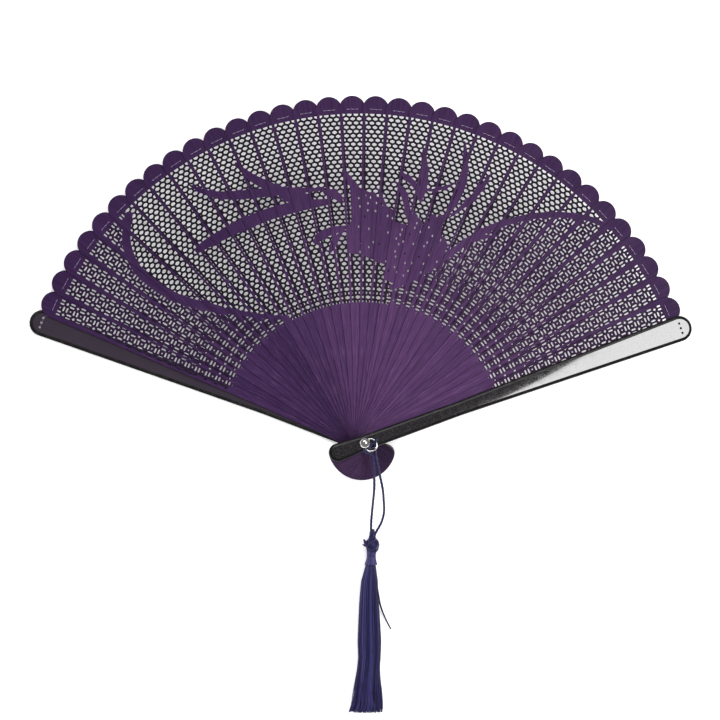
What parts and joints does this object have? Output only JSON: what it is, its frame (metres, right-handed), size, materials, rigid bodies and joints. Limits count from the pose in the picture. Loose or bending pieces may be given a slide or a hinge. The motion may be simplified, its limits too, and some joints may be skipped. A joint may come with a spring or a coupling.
{
  "type": "folding fan",
  "caption": "Open folding fan of thin pierced wooden sticks between two dark lacquered guards, riveted at the tail, with a ring, cord and long tassel.",
  "frame": {"origin": "on the rivet's axis, in the plane of the rear guard's outer face, which the open fan rests on", "axes": "+Z along the rivet, from the rear guard to the front guard; +Y up the middle of the open fan; +X towards the front guard's side"},
  "size_m": [0.3574, 0.3337, 0.0275],
  "materials": {
    "guard_lacquer": "near-black gloss lacquer on the outer faces, satin dark brown on the inner faces",
    "stick_wood": "purple dyed wood, satin",
    "rivet_metal": "polished",
    "ring_metal": "polished",
    "linking_thread": "pale fine thread",
    "tassel_silk": "navy silk, soft sheen along the strands"
  },
  "bodies": {
    "rear_side": {"rear_guard": "guard_lacquer", "rivet_stud": "rivet_metal", "rear_washer": "rivet_metal", "rivet_cap": "rivet_metal", "linking_thread": "linking_thread"},
    "stick_01": {"stick_01": "stick_wood"},
    "stick_02": {"stick_02": "stick_wood"},
    "stick_03": {"stick_03": "stick_wood"},
    "stick_04": {"stick_04": "stick_wood"},
    "stick_05": {"stick_05": "stick_wood"},
    "stick_06": {"stick_06": "stick_wood"},
    "stick_07": {"stick_07": "stick_wood"},
    "stick_08": {"stick_08": "stick_wood"},
    "stick_09": {"stick_09": "stick_wood"},
    "stick_10": {"stick_10": "stick_wood"},
    "stick_11": {"stick_11": "stick_wood"},
    "stick_12": {"stick_12": "stick_wood"},
    "stick_13": {"stick_13": "stick_wood"},
    "stick_14": {"stick_14": "stick_wood"},
    "stick_15": {"stick_15": "stick_wood"},
    "stick_16": {"stick_16": "stick_wood"},
    "stick_17": {"stick_17": "stick_wood"},
    "stick_18": {"stick_18": "stick_wood"},
    "stick_19": {"stick_19": "stick_wood"},
    "stick_20": {"stick_20": "stick_wood"},
    "stick_21": {"stick_21": "stick_wood"},
    "stick_22": {"stick_22": "stick_wood"},
    "stick_23": {"stick_23": "stick_wood"},
    "stick_24": {"stick_24": "stick_wood"},
    "stick_25": {"stick_25": "stick_wood"},
    "stick_26": {"stick_26": "stick_wood"},
    "stick_27": {"stick_27": "stick_wood"},
    "stick_28": {"stick_28": "stick_wood"},
    "stick_29": {"stick_29": "stick_wood"},
    "stick_30": {"stick_30": "stick_wood"},
    "stick_31": {"stick_31": "stick_wood"},
    "stick_32": {"stick_32": "stick_wood"},
    "stick_33": {"stick_33": "stick_wood"},
    "stick_34": {"stick_34": "stick_wood"},
    "front_side": {"front_guard": "guard_lacquer"},
    "tassel": {"tassel_ring": "ring_metal", "tassel_hitch": "tassel_silk", "tassel_cord_left": "tassel_silk", "tassel_cord_right": "tassel_silk", "tassel_knot": "tassel_silk", "tassel_neck": "tassel_silk", "tassel_skirt": "tassel_silk"}
  },
  "joints": [
    {"name": "fan_fold", "type": "hinge", "parent": "rear_side", "child": "front_side", "pos_m": [0, 0, 0], "axis": [0, 0, 1], "range_deg": [0, 139.55], "deforming": ["linking_thread"]},
    {"name": "stick_01_turn", "type": "hinge", "parent": "rear_side", "child": "stick_01", "pos_m": [0, 0, 0], "axis": [0, 0, 1], "range_deg": [0, 3.61]},
    {"name": "stick_02_turn", "type": "hinge", "parent": "rear_side", "child": "stick_02", "pos_m": [0, 0, 0], "axis": [0, 0, 1], "range_deg": [0, 7.62]},
    {"name": "stick_03_turn", "type": "hinge", "parent": "rear_side", "child": "stick_03", "pos_m": [0, 0, 0], "axis": [0, 0, 1], "range_deg": [0, 11.63]},
    {"name": "stick_04_turn", "type": "hinge", "parent": "rear_side", "child": "stick_04", "pos_m": [0, 0, 0], "axis": [0, 0, 1], "range_deg": [0, 15.64]},
    {"name": "stick_05_turn", "type": "hinge", "parent": "rear_side", "child": "stick_05", "pos_m": [0, 0, 0], "axis": [0, 0, 1], "range_deg": [0, 19.65]},
    {"name": "stick_06_turn", "type": "hinge", "parent": "rear_side", "child": "stick_06", "pos_m": [0, 0, 0], "axis": [0, 0, 1], "range_deg": [0, 23.66]},
    {"name": "stick_07_turn", "type": "hinge", "parent": "rear_side", "child": "stick_07", "pos_m": [0, 0, 0], "axis": [0, 0, 1], "range_deg": [0, 27.66]},
    {"name": "stick_08_turn", "type": "hinge", "parent": "rear_side", "child": "stick_08", "pos_m": [0, 0, 0], "axis": [0, 0, 1], "range_deg": [0, 31.67]},
    {"name": "stick_09_turn", "type": "hinge", "parent": "rear_side", "child": "stick_09", "pos_m": [0, 0, 0], "axis": [0, 0, 1], "range_deg": [0, 35.68]},
    {"name": "stick_10_turn", "type": "hinge", "parent": "rear_side", "child": "stick_10", "pos_m": [0, 0, 0], "axis": [0, 0, 1], "range_deg": [0, 39.69]},
    {"name": "stick_11_turn", "type": "hinge", "parent": "rear_side", "child": "stick_11", "pos_m": [0, 0, 0], "axis": [0, 0, 1], "range_deg": [0, 43.7]},
    {"name": "stick_12_turn", "type": "hinge", "parent": "rear_side", "child": "stick_12", "pos_m": [0, 0, 0], "axis": [0, 0, 1], "range_deg": [0, 47.71]},
    {"name": "stick_13_turn", "type": "hinge", "parent": "rear_side", "child": "stick_13", "pos_m": [0, 0, 0], "axis": [0, 0, 1], "range_deg": [0, 51.72]},
    {"name": "stick_14_turn", "type": "hinge", "parent": "rear_side", "child": "stick_14", "pos_m": [0, 0, 0], "axis": [0, 0, 1], "range_deg": [0, 55.73]},
    {"name": "stick_15_turn", "type": "hinge", "parent": "rear_side", "child": "stick_15", "pos_m": [0, 0, 0], "axis": [0, 0, 1], "range_deg": [0, 59.74]},
    {"name": "stick_16_turn", "type": "hinge", "parent": "rear_side", "child": "stick_16", "pos_m": [0, 0, 0], "axis": [0, 0, 1], "range_deg": [0, 63.75]},
    {"name": "stick_17_turn", "type": "hinge", "parent": "rear_side", "child": "stick_17", "pos_m": [0, 0, 0], "axis": [0, 0, 1], "range_deg": [0, 67.75]},
    {"name": "stick_18_turn", "type": "hinge", "parent": "rear_side", "child": "stick_18", "pos_m": [0, 0, 0], "axis": [0, 0, 1], "range_deg": [0, 71.77]},
    {"name": "stick_19_turn", "type": "hinge", "parent": "rear_side", "child": "stick_19", "pos_m": [0, 0, 0], "axis": [0, 0, 1], "range_deg": [0, 75.77]},
    {"name": "stick_20_turn", "type": "hinge", "parent": "rear_side", "child": "stick_20", "pos_m": [0, 0, 0], "axis": [0, 0, 1], "range_deg": [0, 79.78]},
    {"name": "stick_21_turn", "type": "hinge", "parent": "rear_side", "child": "stick_21", "pos_m": [0, 0, 0], "axis": [0, 0, 1], "range_deg": [0, 83.79]},
    {"name": "stick_22_turn", "type": "hinge", "parent": "rear_side", "child": "stick_22", "pos_m": [0, 0, 0], "axis": [0, 0, 1], "range_deg": [0, 87.8]},
    {"name": "stick_23_turn", "type": "hinge", "parent": "rear_side", "child": "stick_23", "pos_m": [0, 0, 0], "axis": [0, 0, 1], "range_deg": [0, 91.81]},
    {"name": "stick_24_turn", "type": "hinge", "parent": "rear_side", "child": "stick_24", "pos_m": [0, 0, 0], "axis": [0, 0, 1], "range_deg": [0, 95.82]},
    {"name": "stick_25_turn", "type": "hinge", "parent": "rear_side", "child": "stick_25", "pos_m": [0, 0, 0], "axis": [0, 0, 1], "range_deg": [0, 99.83]},
    {"name": "stick_26_turn", "type": "hinge", "parent": "rear_side", "child": "stick_26", "pos_m": [0, 0, 0], "axis": [0, 0, 1], "range_deg": [0, 103.84]},
    {"name": "stick_27_turn", "type": "hinge", "parent": "rear_side", "child": "stick_27", "pos_m": [0, 0, 0], "axis": [0, 0, 1], "range_deg": [0, 107.85]},
    {"name": "stick_28_turn", "type": "hinge", "parent": "rear_side", "child": "stick_28", "pos_m": [0, 0, 0], "axis": [0, 0, 1], "range_deg": [0, 111.86]},
    {"name": "stick_29_turn", "type": "hinge", "parent": "rear_side", "child": "stick_29", "pos_m": [0, 0, 0], "axis": [0, 0, 1], "range_deg": [0, 115.86]},
    {"name": "stick_30_turn", "type": "hinge", "parent": "rear_side", "child": "stick_30", "pos_m": [0, 0, 0], "axis": [0, 0, 1], "range_deg": [0, 119.87]},
    {"name": "stick_31_turn", "type": "hinge", "parent": "rear_side", "child": "stick_31", "pos_m": [0, 0, 0], "axis": [0, 0, 1], "range_deg": [0, 123.88]},
    {"name": "stick_32_turn", "type": "hinge", "parent": "rear_side", "child": "stick_32", "pos_m": [0, 0, 0], "axis": [0, 0, 1], "range_deg": [0, 127.89]},
    {"name": "stick_33_turn", "type": "hinge", "parent": "rear_side", "child": "stick_33", "pos_m": [0, 0, 0], "axis": [0, 0, 1], "range_deg": [0, 131.9]},
    {"name": "stick_34_turn", "type": "hinge", "parent": "rear_side", "child": "stick_34", "pos_m": [0, 0, 0], "axis": [0, 0, 1], "range_deg": [0, 135.91]},
    {"name": "tassel_swing", "type": "hinge", "parent": "rear_side", "child": "tassel", "pos_m": [0, 0, 0], "axis": [0, 0, 1], "range_deg": [-90, 70]}
  ],
  "couplings": [
    {"joint": "stick_01_turn", "follows": "fan_fold", "ratio": 0.025797},
    {"joint": "stick_02_turn", "follows": "fan_fold", "ratio": 0.054526},
    {"joint": "stick_03_turn", "follows": "fan_fold", "ratio": 0.083255},
    {"joint": "stick_04_turn", "follows": "fan_fold", "ratio": 0.11198},
    {"joint": "stick_05_turn", "follows": "fan_fold", "ratio": 0.14071},
    {"joint": "stick_06_turn", "follows": "fan_fold", "ratio": 0.16944},
    {"joint": "stick_07_turn", "follows": "fan_fold", "ratio": 0.19817},
    {"joint": "stick_08_turn", "follows": "fan_fold", "ratio": 0.2269},
    {"joint": "stick_09_turn", "follows": "fan_fold", "ratio": 0.25563},
    {"joint": "stick_10_turn", "follows": "fan_fold", "ratio": 0.28436},
    {"joint": "stick_11_turn", "follows": "fan_fold", "ratio": 0.31308},
    {"joint": "stick_12_turn", "follows": "fan_fold", "ratio": 0.34181},
    {"joint": "stick_13_turn", "follows": "fan_fold", "ratio": 0.37054},
    {"joint": "stick_14_turn", "follows": "fan_fold", "ratio": 0.39927},
    {"joint": "stick_15_turn", "follows": "fan_fold", "ratio": 0.428},
    {"joint": "stick_16_turn", "follows": "fan_fold", "ratio": 0.45673},
    {"joint": "stick_17_turn", "follows": "fan_fold", "ratio": 0.48546},
    {"joint": "stick_18_turn", "follows": "fan_fold", "ratio": 0.51419},
    {"joint": "stick_19_turn", "follows": "fan_fold", "ratio": 0.54291},
    {"joint": "stick_20_turn", "follows": "fan_fold", "ratio": 0.57164},
    {"joint": "stick_21_turn", "follows": "fan_fold", "ratio": 0.60037},
    {"joint": "stick_22_turn", "follows": "fan_fold", "ratio": 0.6291},
    {"joint": "stick_23_turn", "follows": "fan_fold", "ratio": 0.65783},
    {"joint": "stick_24_turn", "follows": "fan_fold", "ratio": 0.68656},
    {"joint": "stick_25_turn", "follows": "fan_fold", "ratio": 0.71529},
    {"joint": "stick_26_turn", "follows": "fan_fold", "ratio": 0.74401},
    {"joint": "stick_27_turn", "follows": "fan_fold", "ratio": 0.77274},
    {"joint": "stick_28_turn", "follows": "fan_fold", "ratio": 0.80147},
    {"joint": "stick_29_turn", "follows": "fan_fold", "ratio": 0.8302},
    {"joint": "stick_30_turn", "follows": "fan_fold", "ratio": 0.85893},
    {"joint": "stick_31_turn", "follows": "fan_fold", "ratio": 0.88766},
    {"joint": "stick_32_turn", "follows": "fan_fold", "ratio": 0.91639},
    {"joint": "stick_33_turn", "follows": "fan_fold", "ratio": 0.94512},
    {"joint": "stick_34_turn", "follows": "fan_fold", "ratio": 0.97384}
  ]
}
